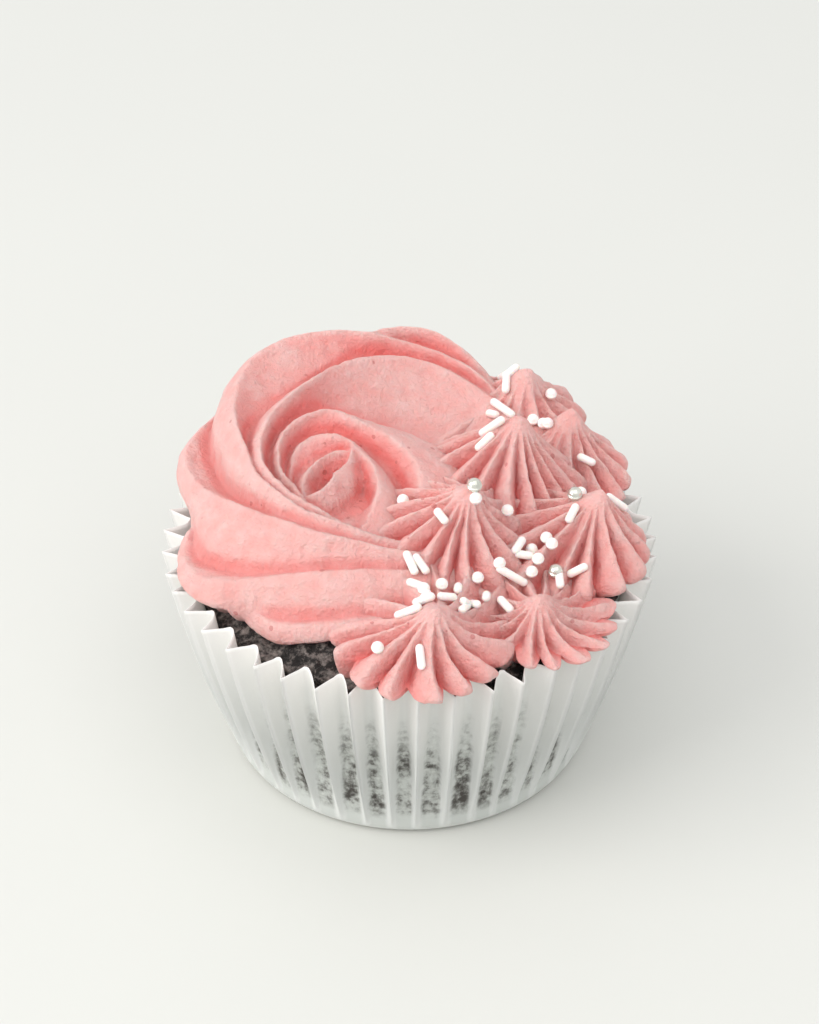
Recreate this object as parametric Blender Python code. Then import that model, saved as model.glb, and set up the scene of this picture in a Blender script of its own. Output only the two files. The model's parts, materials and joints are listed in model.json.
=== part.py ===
"""Cupcake in a pleated paper case, with a piped rose and a patch of piped stars.

Lengths are in millimetres and angles in degrees; MM turns them into metres once,
when a mesh is made. The origin is the middle of the flat base and +Z is up.
"""

import bpy
import numpy as np

MM = 0.001
# Between the case and the cake, between pieces of icing, and under the icing
GAP = 0.3
TRIM_GAP = 0.4
ICING_GAP = 0.45

# Paper case
CASE_BASE_RADIUS = 25.0
CASE_RIM_RADIUS = 33.5
CASE_HEIGHT = 31.5
CASE_CORNER = 1.2
CASE_BULGE = 0.7
CASE_PLEATS = 46
PLEAT_DEPTH = 3.0
CASE_HEIGHTS = (3.0, 9.0, 20.0, CASE_HEIGHT)
PLEAT_DEEPENING = 0.8
PAPER = 0.35

# Cake
CAKE_EDGE_RADIUS = 29.4
CAKE_EDGE_HEIGHT = 29.0
CAKE_SHOULDER = 2.2
CAKE_RISE = 6.5
CAKE_HEIGHTS = (3.0, 12.0, 21.0, CAKE_EDGE_HEIGHT - CAKE_SHOULDER)
CAKE_RINGS = (1.0, 0.85, 0.6, 0.3)
CAKE_BASE_INSET = 2.2
CAKE_SIDES = 48

# Icing over the edge of the cake: it clears the paper's rim
RIM_START = 28.6
RIM_EASE = 0.6
RIM_DROP = 3.0
BED_EASE = 6.5

# Rose: one strand piped outwards from its heart, anticlockwise
ROSE_CENTRE = (-11.0, 0.8)
ROSE_FLOOR = 38.3
ROSE_TRIANGLES = 2900
FLANK_SLOPE = 1.1
FLANK_STEP = 1.0
FLANK_MOST = 0.65
FLANK_LEAN = 0.5
CREASE_SHARE = 0.8
FACE_CURVE = 1.2
CREASE_WALL = 2.5
LEAST_FACE = 0.6
LEAST_THICKNESS = 0.8
THINNEST_EDGE = 0.2
HEART_HOLLOW = 0.3
HEART_RADIUS = 8.0
ROSE_RIM = 0.6
ROSE_ARCH = 1.5
ROSE_UNDER_POINTS = 8
ROSE_RAYS = 240
ROSE_SPACING = 0.35
ROSE_REACH = 40.0
# Each folded edge: how high it stands over the crease inside it, and its
# stations, which are (angle, radius from the rose's centre, height, outer flank's width).
ROSE_EDGES = {
    "curl": (1.5, (
        (46, 5.2, 42.3, 2.0), (70, 4.0, 42.6, 2.0), (98, 2.9, 42.3, 2.0), (152, 2.2, 41.9, 2.0),
        (202, 3.2, 41.6, 2.0), (235, 5.0, 40.8, 2.0),
    )),
    "heart": (2.0, (
        (235, 5.0, 40.8, 3.0), (274, 2.5, 41.9, 3.0), (370, 2.2, 42.6, 3.0), (403, 4.4, 43.0, 2.5),
        (418, 5.6, 42.6, 2.5),
    )),
    "edge_1": (1.8, (
        (-90, 13.4, 36.9, 4.0), (-51, 9.2, 40.0, 4.0), (-16, 6.9, 42.0, 3.5), (38, 5.4, 43.0, 2.5),
        (84, 6.6, 43.4, 1.5), (125, 6.4, 42.7, 1.2), (165, 5.0, 41.5, 1.0), (195, 4.9, 40.5, 1.0),
    )),
    "edge_2": (3.4, (
        (-65, 18.8, 35.4, 5.0), (-18, 13.2, 40.1, 7.0), (16, 11.4, 42.5, 8.0), (59, 9.2, 44.1, 6.4),
        (92, 10.2, 44.8, 3.9), (124, 8.8, 44.4, 2.2), (170, 6.5, 43.3, 1.2), (239, 5.8, 41.8, 1.0),
        (269, 7.5, 40.5, 1.0),
    )),
    "edge_3": (4.2, (
        (-6, 27.2, 35.4, 3.0), (34, 30.0, 39.1, 3.0), (51, 29.5, 41.1, 3.0), (62, 28.6, 42.3, 3.0),
        (67, 27.6, 43.0, 3.3), (78, 24.2, 44.2, 4.7), (101, 15.9, 45.6, 6.0),
        (134, 11.3, 45.1, 3.4), (178, 8.6, 44.1, 1.6), (223, 7.1, 43.0, 1.0), (274, 8.7, 41.6, 1.0),
        (297, 11.3, 39.8, 1.0),
    )),
    "edge_4": (3.2, (
        (31, 31.6, 36.2, 2.0), (50, 31.6, 41.4, 2.5), (61, 31.0, 42.8, 2.5), (72, 29.7, 44.2, 2.5),
        (82, 29.0, 45.2, 3.0), (91, 28.5, 45.5, 3.5), (115, 25.0, 45.1, 4.5),
        (133, 18.8, 44.4, 5.0), (156, 12.6, 44.0, 3.9), (191, 9.4, 43.4, 1.9),
        (246, 8.5, 42.3, 1.2), (293, 11.8, 40.9, 1.2), (311, 14.9, 39.1, 1.2),
        (328, 18.2, 36.9, 1.2),
    )),
    "edge_5": (1.2, (
        (96, 25.7, 31.0, 1.2), (119, 26.9, 36.0, 1.5), (138, 24.6, 36.8, 1.5),
        (156, 21.7, 37.3, 1.5), (170, 18.2, 37.9, 1.8), (186, 14.9, 39.1, 3.2),
        (202, 12.6, 40.0, 6.0), (221, 11.5, 40.7, 6.0), (246, 11.4, 41.4, 5.0),
        (267, 12.3, 41.2, 3.2), (288, 13.7, 40.5, 2.5), (308, 16.9, 39.1, 2.0),
        (331, 21.0, 36.7, 1.5), (342, 22.8, 35.7, 1.3), (358, 25.8, 34.2, 1.2),
    )),
    "edge_6": (0.8, (
        (173, 16.1, 31.5, 1.0), (182, 17.9, 33.2, 1.0), (200, 20.1, 33.6, 1.2),
        (214, 21.1, 34.3, 1.8), (228, 20.4, 35.5, 2.4), (239, 18.4, 36.3, 2.6),
        (252, 16.9, 37.2, 3.4), (269, 16.3, 38.0, 4.0), (287, 17.0, 38.2, 3.8),
        (307, 19.5, 37.6, 3.0), (327, 22.8, 35.9, 2.0), (341, 24.9, 34.6, 1.5),
        (356, 27.4, 33.4, 1.4),
    )),
    "edge_7": (0.6, (
        (212, 17.3, 31.0, 1.0), (229, 18.5, 32.3, 1.0), (242, 20.3, 32.8, 1.0),
        (254, 22.1, 33.2, 1.0), (267, 22.2, 33.8, 1.0), (282, 22.3, 34.3, 1.0),
        (304, 23.8, 34.4, 1.0), (322, 25.5, 34.2, 1.0), (342, 26.9, 33.5, 1.0),
        (356, 28.4, 33.0, 1.0),
    )),
    "tail": (3.0, (
        (37, 33.1, 33.0, 2.0), (47, 33.2, 39.5, 2.0), (58, 33.3, 43.4, 2.0), (69, 32.7, 44.8, 2.0),
        (79, 29.6, 44.8, 2.0), (96, 25.8, 37.6, 2.0),
    )),
}
ROSE_ORDER = (
    "curl", "heart", "edge_1", "edge_2", "edge_3", "edge_4", "edge_5", "edge_6", "edge_7",
)

# Stars: foot centre, foot radius, peak position, peak height, number of ridges,
# swirl of the ridges. Those further down fill the gaps that those before them leave.
STARS = {
    "star_middle": ((5.4, -6.0), 11.0, (8.2, -7.6), 45.4, 16, 16),
    "star_upper_middle": ((14.0, 5.2), 11.0, (15.1, 8.2), 45.6, 16, 14),
    "star_right": ((21.8, -5.0), 10.6, (25.4, -2.8), 41.4, 15, 12),
    "star_front_right": ((17.2, -18.4), 10.1, (16.7, -21.5), 38.6, 15, 12),
    "star_front": ((1.8, -23.6), 11.6, (3.5, -25.6), 40.2, 14, 18),
    "star_right_back": ((21.0, 12.6), 10.0, (22.6, 16.4), 41.0, 14, 10),
    "star_back": ((13.8, 22.6), 11.8, (16.7, 23.8), 42.6, 14, 10),
}
STAR_PEAK = 3.4
STAR_PEAK_WIDTH = 0.2
STAR_NOTCH = 0.11
STAR_GROOVE = 1.9
STAR_SPREAD = 0.8
STAR_TIP_SHARE = 0.35
STAR_ROUNDNESS = 0.6
STAR_THINNEST = 0.8
RIDGE_LEAN = 0.45
RIDGE_WIDTH = 0.75
GROOVE_START = 0.7
GROOVE_FADE = 0.6
STAR_RINGS = 5
STAR_RINGS_CLOSER = 0.8
RAYS_PER_RIDGE = 2
UNDER_RINGS = (0.33, 0.66, 1.0)

# Edges of the icing: how far their undersides are cut in, and how they meet each other
UNDERCUT = 2.4
UNDERCUT_SLOPE = 1.5
EDGE_THICKNESS = 0.2
MOST_SPIKE = 0.06
CLIP_STEPS = 60
CLIP_MARGIN = 0.25

ICING_PINK = (0.86, 0.42, 0.40, 1.0)
CAKE_BROWN = (0.018, 0.012, 0.010, 1.0)
PAPER_WHITE = (0.84, 0.84, 0.80, 1.0)


def clear_scene():
    for thing in list(bpy.data.objects):
        bpy.data.objects.remove(thing, do_unlink=True)


def material(name, colour, roughness):
    made = bpy.data.materials.new(name)
    made.use_nodes = True
    shader = made.node_tree.nodes["Principled BSDF"]
    shader.inputs["Base Color"].default_value = colour
    shader.inputs["Roughness"].default_value = roughness
    shader.inputs["Metallic"].default_value = 0.0
    return made


def closed_body(name, first, rings, last, made_of):
    """A smooth-shaded body of closed rings, from a point under it to a point on its end.

    Each ring runs anticlockwise seen from above; points are in millimetres.
    """
    sides = len(rings[0])
    points = [first]
    for ring in rings:
        points.extend(ring)
    points.append(last)
    faces = [(0, 1 + (side + 1) % sides, 1 + side) for side in range(sides)]
    for number in range(len(rings) - 1):
        low = 1 + number * sides
        for side in range(sides):
            after = (side + 1) % sides
            faces.append((low + side, low + after, low + sides + after, low + sides + side))
    low = 1 + (len(rings) - 1) * sides
    end = len(points) - 1
    faces += [(low + side, low + (side + 1) % sides, end) for side in range(sides)]
    mesh = bpy.data.meshes.new(name)
    mesh.from_pydata((np.asarray(points, float) * MM).tolist(), [], faces)
    mesh.polygons.foreach_set("use_smooth", [True] * len(mesh.polygons))
    mesh.materials.append(made_of)
    mesh.update()
    body = bpy.data.objects.new(name, mesh)
    bpy.context.collection.objects.link(body)
    return body


def dome_height(x, y):
    """Top of the baked cake."""
    return CAKE_EDGE_HEIGHT + CAKE_RISE * (1.0 - (np.hypot(x, y) / CAKE_EDGE_RADIUS) ** 2)


def rest_height(x, y):
    """Underside of the icing: just over the cake, and over the paper's rim outside it."""
    out = np.clip((np.hypot(x, y) - RIM_START) / RIM_EASE, 0.0, 1.0)
    return np.maximum(dome_height(x, y), CASE_HEIGHT - RIM_DROP * (1.0 - out)) + ICING_GAP


def bed_height(x, y):
    """The bed that a star's petals lie on: the cake, levelling off to clear the paper's rim."""
    reach = np.minimum(np.hypot(x, y), CAKE_EDGE_RADIUS)
    out = np.clip((reach - CAKE_EDGE_RADIUS) / BED_EASE + 1.0, 0.0, 1.0)
    lift = CASE_HEIGHT + ICING_GAP - CAKE_EDGE_HEIGHT
    return dome_height(reach, 0.0) + lift * out ** 2 * (3.0 - 2.0 * out)


# ---------------------------------------------------------------- rose


def along(stations, column, angle):
    """A smooth curve through one column of the stations, held at both ends."""
    table = np.array(stations, float)
    knots = table[:, 0]
    values = table[:, column]
    slopes = np.gradient(values, knots)
    angle = np.clip(angle, knots[0], knots[-1])
    piece = np.clip(np.searchsorted(knots, angle) - 1, 0, len(knots) - 2)
    width = knots[piece + 1] - knots[piece]
    t = (angle - knots[piece]) / width
    rise = values[piece + 1] - values[piece]
    a = slopes[piece] * width - rise
    b = rise - slopes[piece + 1] * width
    return values[piece] + rise * t + t * (1 - t) * (a * (1 - t) + b * t)


def turned_to(stations, angle):
    """The angle counted on from the edge's first station."""
    return stations[0][0] + (angle - stations[0][0]) % 360.0


def edge_foot(inner_name, crease, x, y, angle, at, top):
    """The crease that an edge's inner face starts from, beyond the flank of the next inner edge."""
    if inner_name is None:
        return at * HEART_HOLLOW, np.full_like(at, ROSE_FLOOR)
    stations = ROSE_EDGES[inner_name][1]
    turned = turned_to(stations, angle)
    last = stations[-1][0]
    before = turned - last > (360.0 - last + stations[0][0]) / 2
    turned = np.where(before, stations[0][0], turned)
    foot = along(stations, 1, turned) + CREASE_SHARE * along(stations, 3, turned)
    height = np.minimum(top - crease, along(stations, 2, turned) - FLANK_STEP)
    height = np.maximum(height, rest_height(x, y) + LEAST_THICKNESS)
    return np.minimum(foot, at - LEAST_FACE), np.minimum(height, top)


def edge_surface(name, inner_name, x, y, radius, angle):
    """Height of one folded edge: a broad inner face up to it, a rounded flank beyond it."""
    crease, stations = ROSE_EDGES[name]
    turned = turned_to(stations, angle)
    at = along(stations, 1, turned)
    top = along(stations, 2, turned)
    flank = along(stations, 3, turned)
    beyond = np.clip((radius - at) / flank, 0.0, 1.0)
    most = FLANK_MOST * (top - rest_height(x, y))
    drop = np.minimum(FLANK_SLOPE * flank + FLANK_STEP, most)
    round_off = 1.0 - np.sqrt(1.0 - beyond ** 2)
    height = top - drop * (FLANK_LEAN * beyond + (1.0 - FLANK_LEAN) * round_off)
    height = np.where(radius > at + flank, -1.0, height)
    foot, foot_height = edge_foot(inner_name, crease, x, y, angle, at, top)
    up = np.clip((radius - foot) / (at - foot), 0.0, 1.0)
    face = foot_height + (top - foot_height) * up ** FACE_CURVE
    face = face - CREASE_WALL * np.maximum(foot - radius, 0.0)
    height = np.where(radius < at, face, height)
    return np.where(turned <= stations[-1][0], height, -1.0)


def rose_height(x, y):
    """Top of the whole rose over a point of the ground plan, or -1 beyond it."""
    across = x - ROSE_CENTRE[0]
    along_y = y - ROSE_CENTRE[1]
    radius = np.hypot(across, along_y)
    angle = np.degrees(np.arctan2(along_y, across))
    height = np.where(radius < HEART_RADIUS, ROSE_FLOOR, -1.0)
    inner = None
    for name in ROSE_ORDER:
        within = None if name == "heart" else inner
        height = np.maximum(height, edge_surface(name, within, x, y, radius, angle))
        inner = "curl" if name == "heart" else name
    height = np.maximum(height, edge_surface("tail", "edge_4", x, y, radius, angle))
    return np.where(height > rest_height(x, y) + THINNEST_EDGE, height, -1.0)


# ---------------------------------------------------------------- stars


def ridge_pattern(star, ray):
    """0 in a groove and 1 on a ridge; the ridges lean to one side."""
    phase = np.radians(star[4] * ray)
    return np.abs(np.cos((phase + RIDGE_LEAN * np.sin(phase)) / 2.0)) ** RIDGE_WIDTH


def star_reach(star, s, ray):
    """Reach of the petals, which spread further towards the middle of the cake."""
    turn = np.radians(ray)
    inward = -(star[0][0] * np.cos(turn) + star[0][1] * np.sin(turn)) / CAKE_EDGE_RADIUS
    spread = 1.0 + STAR_SPREAD * np.maximum(inward, 0.0)
    return star[1] * spread * (1.0 - STAR_NOTCH * (1.0 - ridge_pattern(star, ray)) * s ** 2)


def star_top(star, s, ray, x, y):
    """Height of the top, from the peak (s = 0) to the petal tips (s = 1)."""
    full = star[3] - bed_height(*star[2])
    dome = np.clip(1.0 - s ** 2, 0.0, 1.0) ** STAR_ROUNDNESS
    body = (full - STAR_PEAK) * (STAR_TIP_SHARE + (1.0 - STAR_TIP_SHARE) * dome)
    peak = STAR_PEAK * np.exp(-s / STAR_PEAK_WIDTH)
    groove = STAR_GROOVE * s ** GROOVE_START * (1.0 - ridge_pattern(star, ray))
    rise = body + peak - groove * (1.0 - GROOVE_FADE * s ** 3)
    return bed_height(x, y) + np.maximum(rise, STAR_THINNEST)


def star_point(star, s, ray):
    """A point of the star's top surface, on the ray's swirling line to the peak."""
    reach = s * star_reach(star, s, ray)
    angle = np.radians(ray - star[5] * (1.0 - s))
    x = star[0][0] + (star[2][0] - star[0][0]) * (1.0 - s) + reach * np.cos(angle)
    y = star[0][1] + (star[2][1] - star[0][1]) * (1.0 - s) + reach * np.sin(angle)
    return x, y, star_top(star, s, ray, x, y)


def star_place(star, x, y):
    """Which ray a point of the ground plan lies on, and how far along it, from 0 to 1."""
    s = np.full_like(x, 0.5)
    for _ in range(9):
        from_x = x - star[0][0] - (star[2][0] - star[0][0]) * (1.0 - s)
        from_y = y - star[0][1] - (star[2][1] - star[0][1]) * (1.0 - s)
        ray = np.degrees(np.arctan2(from_y, from_x)) + star[5] * (1.0 - s)
        s = np.clip(np.hypot(from_x, from_y) / star_reach(star, s, ray), 0.0, 1.3)
    return s, ray


def others_height(own_name, trimmed, x, y):
    """Top of all the icing but one piece; those in trimmed end where they were trimmed."""
    height = np.full_like(x, -1.0) if own_name == "rose_swirl" else rose_height(x, y)
    for name, star in STARS.items():
        if name != own_name:
            s, ray = star_place(star, x, y)
            top = star_top(star, np.minimum(s, 1.0), ray, x, y)
            end = 1.0
            if name in trimmed:
                end = np.interp(ray, *trimmed[name], period=360.0)
            height = np.where(s < end, np.maximum(height, top), height)
    return height


def free_part(own_name, trimmed, point_at, rays):
    """How far along each ray the piece stays above its neighbours, from 0 to 1."""

    def spare(s, ray):
        x, y, z = point_at(s, ray)
        return z - others_height(own_name, trimmed, x, y) - CLIP_MARGIN

    s, ray = np.meshgrid(np.linspace(0.0, 1.0, CLIP_STEPS + 1), rays, indexing="ij")
    covered = spare(s, ray) < 0.0
    covered[0] = False
    first = np.where(covered.any(axis=0), covered.argmax(axis=0), CLIP_STEPS + 1)
    low = (first - 1) / CLIP_STEPS
    high = np.minimum(first / CLIP_STEPS, 1.0)
    for _ in range(10):
        middle = (low + high) / 2.0
        free = spare(middle, rays) > 0.0
        low = np.where(free, middle, low)
        high = np.where(free, high, middle)
    return np.maximum(low, 0.02)


def mound(name, tops, made_of):
    """A closed body under rings of top points, the first of which all meet in the middle."""
    middle = tops[0, 0].copy()
    middle[2] = rest_height(middle[0], middle[1])
    edge = tops[-1]
    inward = middle[None, :2] - edge[:, :2]
    reach = np.hypot(inward[:, 0], inward[:, 1])[:, None]
    thick = (edge[:, 2] - rest_height(edge[:, 0], edge[:, 1]))[:, None]
    foot = edge.copy()
    undercut = np.minimum(UNDERCUT, UNDERCUT_SLOPE * thick)
    foot[:, :2] += inward / reach * np.minimum(undercut, reach / 2.0)
    rings = []
    for share in UNDER_RINGS:
        under = middle + (foot - middle) * share
        under[:, 2] = rest_height(under[:, 0], under[:, 1])
        rings.append(under)
    rings[-1][:, 2] = np.minimum(rings[-1][:, 2], edge[:, 2] - EDGE_THICKNESS)
    rings += list(tops[:0:-1])
    return closed_body(name, middle, rings, tops[0, 0], made_of)


def star_body(name, trimmed, made_of):
    """One star, ending a gap short of its neighbours; its own ends join the trimmed ones."""
    star = STARS[name]
    count = star[4] * RAYS_PER_RIDGE
    rays = np.arange(count) * 360.0 / count
    free = free_part(name, trimmed, lambda s, ray: star_point(star, s, ray), rays)
    free = np.where(free < 0.999, free - TRIM_GAP / star[1], free)
    beside = (np.roll(free, 1) + np.roll(free, -1)) / 2.0
    free = np.minimum(free, beside + MOST_SPIKE)
    trimmed[name] = (rays, free)
    steps = np.linspace(0.0, 1.0, STAR_RINGS + 1) ** STAR_RINGS_CLOSER
    s = steps[:, None] * free[None, :]
    x, y, z = star_point(star, s, rays[None, :] + 0.0 * s)
    return mound(name, np.stack([x, y, z], axis=2), made_of)


def rose_point(s, angle):
    """A point of the rose's top, s running from its middle to beyond its outermost edge."""
    radius = s * ROSE_REACH
    x = ROSE_CENTRE[0] + radius * np.cos(np.radians(angle))
    y = ROSE_CENTRE[1] + radius * np.sin(np.radians(angle))
    return x, y, rose_height(x, y)


def rose_end(rays, trimmed):
    """How far the rose reaches along each ray before it ends or a star covers it."""
    return np.maximum(free_part("rose_swirl", trimmed, rose_point, rays) * ROSE_REACH - TRIM_GAP, 0.5)


def rose_radii(ray, end):
    """Radii of one ray's points: evenly spaced, with one drawn onto each folded edge."""
    radii = np.arange(ROSE_SPACING, end - ROSE_SPACING / 2.0, ROSE_SPACING)
    for _, stations in ROSE_EDGES.values():
        turned = turned_to(stations, ray)
        at = float(along(stations, 1, np.array([turned]))[0])
        if turned <= stations[-1][0] and len(radii) and at < radii[-1]:
            radii[np.abs(radii - at).argmin()] = at
    return np.unique(radii)


def rose_body(trimmed, made_of):
    rays = np.arange(ROSE_RAYS) * 360.0 / ROSE_RAYS
    ends = rose_end(rays, trimmed)
    length = int(ends.max() / ROSE_SPACING) + ROSE_UNDER_POINTS
    columns = []
    for ray, end in zip(rays, ends):
        radii = np.append(rose_radii(ray, end), end)
        x, y, z = rose_point(radii / ROSE_REACH, np.full_like(radii, ray))
        rest = rest_height(x[-1], y[-1])
        z[-1] = max(z[-1], rest + ROSE_RIM)
        foot = max(end - min(UNDERCUT, UNDERCUT_SLOPE * (z[-1] - rest)), end / 2.0)
        inward = np.linspace(foot, 0.0, length - len(radii) + 1)[:-1]
        under_x = ROSE_CENTRE[0] + inward * np.cos(np.radians(ray))
        under_y = ROSE_CENTRE[1] + inward * np.sin(np.radians(ray))
        under_z = rest_height(under_x, under_y) + ROSE_ARCH * (1.0 - inward / foot)
        under_z[0] = min(under_z[0], z[-1] - EDGE_THICKNESS)
        top = np.stack([x, y, z], axis=1)
        under = np.stack([under_x, under_y, under_z], axis=1)
        columns.append(np.concatenate([top, under]))
    rings = np.stack(columns, axis=1)[::-1]
    middle = (*ROSE_CENTRE, float(rest_height(*ROSE_CENTRE)) + ROSE_ARCH)
    heart = (*ROSE_CENTRE, float(rose_point(np.zeros(1), np.zeros(1))[2][0]))
    return closed_body("rose_swirl", middle, list(rings), heart, made_of)


# ---------------------------------------------------------------- cake and case


def circle(radius, height, sides):
    turn = np.arange(sides) * 2.0 * np.pi / sides
    level = np.full(sides, float(height))
    return np.stack([radius * np.cos(turn), radius * np.sin(turn), level], axis=1)


def case_radius(height):
    """Middle radius of the paper wall at a height."""
    up = height / CASE_HEIGHT
    straight = CASE_BASE_RADIUS + (CASE_RIM_RADIUS - PLEAT_DEPTH / 2.0 - CASE_BASE_RADIUS) * up
    return straight + CASE_BULGE * np.sin(np.pi * up)


def pleat_depth(height):
    return PLEAT_DEPTH * np.clip(height / CASE_HEIGHT, 0.0, 1.0) ** PLEAT_DEEPENING


def case_ring(height, offset):
    """One pleated ring of the wall: fold out, fold in."""
    turn = np.arange(2 * CASE_PLEATS) * np.pi / CASE_PLEATS
    out = np.where(np.arange(2 * CASE_PLEATS) % 2 == 0, 1.0, -1.0)
    radius = case_radius(height) + out * pleat_depth(height) / 2.0 + offset
    level = np.full(len(turn), float(height))
    return np.stack([radius * np.cos(turn), radius * np.sin(turn), level], axis=1)


def paper_case(made_of):
    """A cup of pleated paper: its base is flat and its wall is one sheet thick."""
    sides = 2 * CASE_PLEATS
    flat = CASE_BASE_RADIUS - CASE_CORNER
    rings = [circle(flat, 0.0, sides), circle(CASE_BASE_RADIUS + GAP, CASE_CORNER, sides)]
    rings += [case_ring(height, 0.0) for height in CASE_HEIGHTS]
    rings += [case_ring(height, -PAPER) for height in reversed(CASE_HEIGHTS)]
    rings.append(circle(CASE_BASE_RADIUS - PAPER, CASE_CORNER + PAPER, sides))
    rings.append(circle(flat - GAP, PAPER, sides))
    return closed_body("paper_case", (0, 0, 0), rings, (0, 0, PAPER), made_of)


def cake(made_of):
    """The baked cake: it fills the case up to its folds and rises in a dome."""
    rings = [circle(CASE_BASE_RADIUS - CAKE_BASE_INSET, PAPER + GAP, CAKE_SIDES)]
    for height in CAKE_HEIGHTS:
        radius = case_radius(height) - pleat_depth(height) / 2.0 - PAPER - GAP
        rings.append(circle(radius, height, CAKE_SIDES))
    for reach in CAKE_RINGS:
        radius = CAKE_EDGE_RADIUS * reach
        rings.append(circle(radius, dome_height(radius, 0.0), CAKE_SIDES))
    top = (0, 0, float(dome_height(0.0, 0.0)))
    return closed_body("cake", (0, 0, PAPER + GAP), rings, top, made_of)


def soften(rose):
    """Rounds the rose's sharpest creases a little and thins out its points."""
    softer = rose.modifiers.new("Smooth", "SMOOTH")
    softer.factor = 0.5
    softer.iterations = 2
    lighter = rose.modifiers.new("Decimate", "DECIMATE")
    lighter.ratio = min(ROSE_TRIANGLES / (2.0 * len(rose.data.polygons)), 1.0)


def build():
    clear_scene()
    paper = material("paper", PAPER_WHITE, 0.8)
    crumb = material("cake", CAKE_BROWN, 0.9)
    icing = material("icing", ICING_PINK, 0.5)
    paper_case(paper)
    cake(crumb)
    trimmed = {}
    for name in STARS:
        star_body(name, trimmed, icing)
    soften(rose_body(trimmed, icing))


build()
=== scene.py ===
# %% [markdown]
# # A frosted cupcake in a paper case
# A dark cake is baked in a pleated paper case. A rose of pink buttercream is piped
# over one side of it, small stars fill the other side, and white sprinkles and pearls
# are scattered on the stars. The solids that carry its size and weight are loaded
# first. Each piece is then made again in the same place with the folds, pores and
# crumbs that the plain solids leave out.

# %% Load the solids and measure them
import json
import math

import bpy
import numpy as np
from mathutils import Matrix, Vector, noise

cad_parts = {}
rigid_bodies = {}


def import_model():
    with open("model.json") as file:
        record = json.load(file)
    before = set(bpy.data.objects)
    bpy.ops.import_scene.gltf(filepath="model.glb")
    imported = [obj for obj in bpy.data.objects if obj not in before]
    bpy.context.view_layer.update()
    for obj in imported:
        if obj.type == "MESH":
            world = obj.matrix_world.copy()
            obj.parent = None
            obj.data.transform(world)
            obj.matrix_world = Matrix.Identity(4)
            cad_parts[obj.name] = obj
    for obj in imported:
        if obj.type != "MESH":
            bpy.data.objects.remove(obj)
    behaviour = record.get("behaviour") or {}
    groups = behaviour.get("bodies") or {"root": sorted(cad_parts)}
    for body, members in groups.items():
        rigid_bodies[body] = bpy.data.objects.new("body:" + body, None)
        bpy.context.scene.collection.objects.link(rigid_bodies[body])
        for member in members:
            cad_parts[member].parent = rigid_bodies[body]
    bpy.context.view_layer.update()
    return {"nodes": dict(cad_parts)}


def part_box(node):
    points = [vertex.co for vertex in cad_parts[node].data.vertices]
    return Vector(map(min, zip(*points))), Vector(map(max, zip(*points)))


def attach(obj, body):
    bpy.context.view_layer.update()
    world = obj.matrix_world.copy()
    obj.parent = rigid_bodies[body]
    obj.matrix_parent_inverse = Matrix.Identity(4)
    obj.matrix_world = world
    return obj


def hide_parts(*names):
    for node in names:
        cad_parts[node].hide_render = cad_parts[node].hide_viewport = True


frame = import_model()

MM = 0.001

# %% [markdown]
# ## The camera
# The cupcake is seen from the front and well above, through a long lens that keeps
# its sides nearly straight. A camera could be aimed with a constraint, but a fixed
# place and angle are simpler and can't drift.

# %% Camera
CAMERA_AIM_HEIGHT = 20.0
CAMERA_DISTANCE = 360.0
CAMERA_RISE = math.radians(39.6)
CAMERA_TILT_UP = math.radians(1.97)

camera_data = bpy.data.cameras.new("camera")
camera_data.lens = 91.5
camera_data.clip_start = 0.01
camera = bpy.data.objects.new("camera", camera_data)
bpy.context.scene.collection.objects.link(camera)
camera.location = (
    0.0,
    -CAMERA_DISTANCE * math.cos(CAMERA_RISE) * MM,
    (CAMERA_AIM_HEIGHT + CAMERA_DISTANCE * math.sin(CAMERA_RISE)) * MM,
)
camera.rotation_euler = (math.pi / 2.0 - CAMERA_RISE + CAMERA_TILT_UP, 0.0, 0.0)
bpy.context.scene.camera = camera
print("camera at", tuple(round(c, 4) for c in camera.location))

# %% [markdown]
# ## Soft daylight
# The cupcake stands in the light of a large window on its left, and pale walls send
# light back from every side. One big area light makes the window, a weaker one overhead
# opens up the shade, and an even pale sky stands for the walls. The shadow falls softly
# to the right. The standard view keeps pinks and whites as they are mixed.

# %% Lights
bpy.context.scene.view_settings.view_transform = "Standard"
sky = bpy.data.worlds.new("pale_room")
sky.use_nodes = True
sky.node_tree.nodes["Background"].inputs["Color"].default_value = (0.97, 0.985, 1.0, 1.0)
sky.node_tree.nodes["Background"].inputs["Strength"].default_value = 0.92
bpy.context.scene.world = sky


def hang_window(name, place, size, power, tint):
    """A square area light that faces the cupcake."""
    light = bpy.data.lights.new(name, "AREA")
    light.size = size
    light.energy = power
    light.color = tint
    window = bpy.data.objects.new(name, light)
    window.location = place
    aim = Vector((0.0, 0.0, 0.03)) - Vector(place)
    window.rotation_euler = aim.to_track_quat("-Z", "Y").to_euler()
    bpy.context.scene.collection.objects.link(window)
    return window


hang_window("window_left", (-0.88, -0.33, 0.62), 0.9, 8.4, (1.0, 0.985, 0.965))
hang_window("fill_above", (0.10, -0.35, 1.05), 1.2, 4.2, (1.0, 0.99, 0.97))
print("lights:", [light.name for light in bpy.data.lights])

# %% [markdown]
# ## Finishes
# Blender builds a finish from nodes. The helpers below save typing: they start a
# material, add a node and fill in or link its inputs, mix two colours, stretch a
# value, and combine two values. Every pattern reads object coordinates, so it is in
# real metres and needs no unwrapping.

# %% Node helpers


def new_finish(name, roughness):
    """A material with one shader, and the node tree that holds it."""
    finish = bpy.data.materials.new(name)
    finish.use_nodes = True
    shader = finish.node_tree.nodes["Principled BSDF"]
    shader.inputs["Roughness"].default_value = roughness
    return finish, finish.node_tree, shader


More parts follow.
